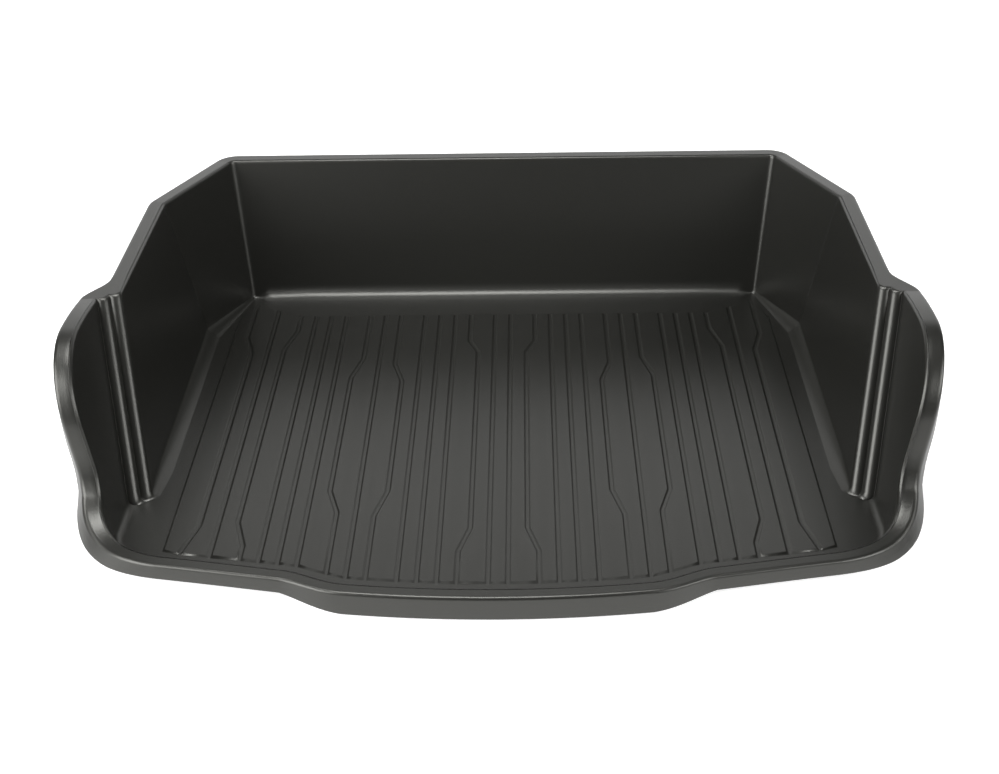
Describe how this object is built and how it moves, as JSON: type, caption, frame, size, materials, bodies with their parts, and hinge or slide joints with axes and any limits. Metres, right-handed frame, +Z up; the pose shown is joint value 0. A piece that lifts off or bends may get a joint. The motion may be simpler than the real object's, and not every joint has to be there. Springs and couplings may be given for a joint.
{
  "type": "car boot liner",
  "caption": "Moulded boot tray with a tall back wall, chamfered corners, side wings that fall to a low front lip, a turned-out rim and raised floor planks with stepped grooves.",
  "frame": {"origin": "centre of the bounding box's bottom face, on the plane of the floor's flat underside", "axes": "+X across the tray from side to side, +Y towards the tall back wall, +Z up out of the tray"},
  "size_m": [1.2554, 1.0102, 0.27],
  "materials": {
    "liner_plastic": "dark olive-grey polyethylene with a fine moulded grain and a soft sheen"
  },
  "bodies": {
    "root": {"liner_tray": "liner_plastic"}
  },
  "joints": []
}
